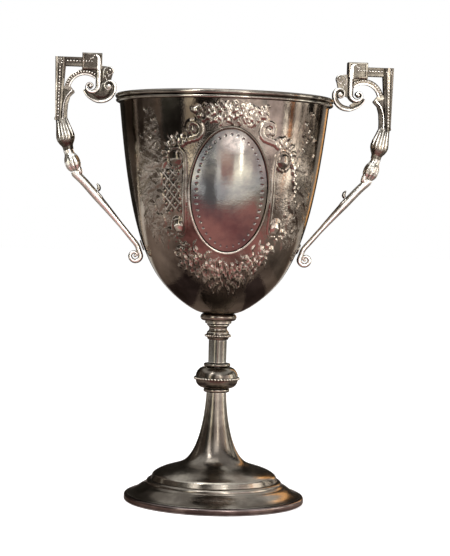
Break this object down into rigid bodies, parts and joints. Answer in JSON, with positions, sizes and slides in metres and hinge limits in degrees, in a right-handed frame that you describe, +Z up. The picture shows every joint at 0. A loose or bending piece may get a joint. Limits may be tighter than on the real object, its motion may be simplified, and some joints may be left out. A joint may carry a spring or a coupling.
{
  "type": "presentation cup",
  "caption": "Tall silver-plated presentation cup with two angular scroll handles, a chased bowl with a blank oval plate, a beaded knop stem and a domed foot.",
  "frame": {"origin": "under the middle of the foot, on the plane that the cup stands on", "axes": "+Z up along the axis of the cup, X through both handles with the left handle at -X, and -Y towards the viewer, where the oval plate is"},
  "size_m": [0.212, 0.1366, 0.2781],
  "materials": {
    "plated_body": "aged silver plate on nickel silver",
    "plated_dark": "tarnished silver plate on nickel silver",
    "plated_wire": "worn bright silver plate on nickel silver",
    "plated_cast": "cast nickel silver, plated, worn",
    "steel": "plain turned steel"
  },
  "bodies": {
    "root": {"foot": "plated_body", "foot_ring": "plated_dark", "knop_lower_collar": "plated_body", "knop_lower_shell": "plated_body", "knop_upper_shell": "plated_body", "knop_bead_wire": "plated_wire", "knop_upper_collar": "plated_body", "stem_tube": "plated_wire", "beaded_ring": "plated_wire", "neck_spool": "plated_body", "bowl_collar": "plated_body", "bowl_boss": "steel", "tie_rod": "steel", "washer": "steel", "nut": "steel", "bowl": "plated_dark", "rim_wire": "plated_wire", "presentation_plate": "plated_body", "plate_border": "plated_wire", "left_plaque": "plated_cast", "left_top_bar": "plated_cast", "left_outer_bar": "plated_cast", "left_arch": "plated_wire", "left_leaf": "plated_cast", "left_scroll": "plated_cast", "left_c_scroll": "plated_cast", "left_upper_volute": "plated_cast", "left_husk": "plated_cast", "left_bud": "plated_cast", "left_arm": "plated_wire", "left_spur": "plated_cast", "left_pad": "plated_body", "right_plaque": "plated_cast", "right_top_bar": "plated_cast", "right_outer_bar": "plated_cast", "right_arch": "plated_wire", "right_leaf": "plated_cast", "right_scroll": "plated_cast", "right_c_scroll": "plated_cast", "right_upper_volute": "plated_cast", "right_husk": "plated_cast", "right_bud": "plated_cast", "right_arm": "plated_wire", "right_spur": "plated_cast", "right_pad": "plated_body"}
  },
  "joints": []
}
